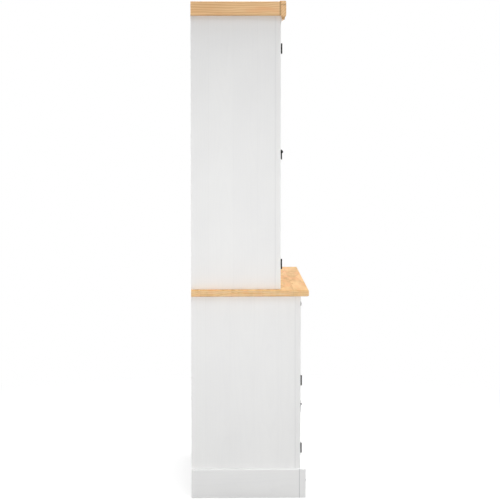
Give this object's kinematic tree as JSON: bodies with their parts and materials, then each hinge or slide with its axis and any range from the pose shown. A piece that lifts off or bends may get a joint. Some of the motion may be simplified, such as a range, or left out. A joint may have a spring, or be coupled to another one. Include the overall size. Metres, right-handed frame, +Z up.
{
  "type": "glazed cupboard",
  "caption": "Two-part pine cupboard: a glazed upper case with shelves stands on a deeper base with a wide drawer over panelled doors.",
  "frame": {"origin": "on the floor under the middle of the worktop", "axes": "+Z up, +X to the right as seen from the front, the front faces -Y"},
  "size_m": [0.92, 0.446, 1.886],
  "materials": {
    "painted_pine": "satin white paint over pine",
    "waxed_pine": "honey-coloured wax over glued pine",
    "bare_pine": "planed pine, no finish",
    "black_iron": "black lacquered iron",
    "clear_glass": "clear float glass",
    "bright_steel": "zinc-plated",
    "grey_plastic": "moulded",
    "white_plastic": "moulded"
  },
  "bodies": {
    "cabinet": {"base_back": "painted_pine", "base_bottom_rail": "painted_pine", "base_divider": "painted_pine", "base_floor": "painted_pine", "base_middle_rail": "painted_pine", "base_shelf": "painted_pine", "base_side_left": "painted_pine", "base_side_right": "painted_pine", "base_stiles": "painted_pine", "base_top_rail": "painted_pine", "case_dowels": "bare_pine", "crown_cove": "painted_pine", "crown_front": "waxed_pine", "crown_sides": "waxed_pine", "door_catches": "white_plastic", "drawer_runners": "bare_pine", "hinge_frame_leaves": "black_iron", "hinge_pins": "black_iron", "plinth_front": "painted_pine", "plinth_screw_caps": "grey_plastic", "plinth_sides": "painted_pine", "shelf_pins": "bright_steel", "upper_back": "painted_pine", "upper_bottom_rail": "painted_pine", "upper_ceiling": "painted_pine", "upper_floor": "painted_pine", "upper_shelves": "painted_pine", "upper_side_left": "painted_pine", "upper_side_right": "painted_pine", "upper_stiles": "painted_pine", "upper_top_rail": "painted_pine", "worktop": "waxed_pine", "worktop_cleats": "bare_pine"},
    "upper_left_door": {"upper_left_door_frame": "painted_pine", "upper_left_door_glass": "clear_glass", "upper_left_door_glazing_bars": "painted_pine", "upper_left_door_hinge_leaves": "black_iron", "upper_left_door_pull": "black_iron"},
    "upper_left_drop": {"upper_left_door_drop": "black_iron"},
    "upper_right_door": {"upper_right_door_frame": "painted_pine", "upper_right_door_glass": "clear_glass", "upper_right_door_glazing_bars": "painted_pine", "upper_right_door_hinge_leaves": "black_iron", "upper_right_door_pull": "black_iron"},
    "upper_right_drop": {"upper_right_door_drop": "black_iron"},
    "base_left_door": {"base_left_door_frame": "painted_pine", "base_left_door_hinge_leaves": "black_iron", "base_left_door_panel": "painted_pine", "base_left_door_pull": "black_iron"},
    "base_left_drop": {"base_left_door_drop": "black_iron"},
    "base_right_door": {"base_right_door_frame": "painted_pine", "base_right_door_hinge_leaves": "black_iron", "base_right_door_panel": "painted_pine", "base_right_door_pull": "black_iron"},
    "base_right_drop": {"base_right_door_drop": "black_iron"},
    "drawer": {"drawer_back": "bare_pine", "drawer_bottom": "bare_pine", "drawer_front": "painted_pine", "drawer_knob": "black_iron", "drawer_sides": "bare_pine"}
  },
  "joints": [
    {"name": "upper_left_door_hinge", "type": "hinge", "parent": "cabinet", "child": "upper_left_door", "pos_m": [-0.379, -0.121, 0.921], "axis": [0, 0, -1], "range_deg": [0, 165]},
    {"name": "upper_right_door_hinge", "type": "hinge", "parent": "cabinet", "child": "upper_right_door", "pos_m": [0.379, -0.121, 0.921], "axis": [0, 0, 1], "range_deg": [0, 165]},
    {"name": "base_left_door_hinge", "type": "hinge", "parent": "cabinet", "child": "base_left_door", "pos_m": [-0.389, -0.197, 0.213], "axis": [0, 0, -1], "range_deg": [0, 165]},
    {"name": "base_right_door_hinge", "type": "hinge", "parent": "cabinet", "child": "base_right_door", "pos_m": [0.389, -0.197, 0.213], "axis": [0, 0, 1], "range_deg": [0, 165]},
    {"name": "upper_left_drop_pivot", "type": "hinge", "parent": "upper_left_door", "child": "upper_left_drop", "pos_m": [-0.0355, -0.1364, 1.304], "axis": [-1, 0, 0], "range_deg": [-25, 80]},
    {"name": "upper_right_drop_pivot", "type": "hinge", "parent": "upper_right_door", "child": "upper_right_drop", "pos_m": [0.0355, -0.1364, 1.304], "axis": [-1, 0, 0], "range_deg": [-25, 80]},
    {"name": "base_left_drop_pivot", "type": "hinge", "parent": "base_left_door", "child": "base_left_drop", "pos_m": [-0.0355, -0.2124, 0.291], "axis": [-1, 0, 0], "range_deg": [-25, 80]},
    {"name": "base_right_drop_pivot", "type": "hinge", "parent": "base_right_door", "child": "base_right_drop", "pos_m": [0.0355, -0.2124, 0.291], "axis": [-1, 0, 0], "range_deg": [-25, 80]},
    {"name": "drawer_slide", "type": "slide", "parent": "cabinet", "child": "drawer", "axis": [0, -1, 0], "range_m": [0, 0.3]}
  ]
}
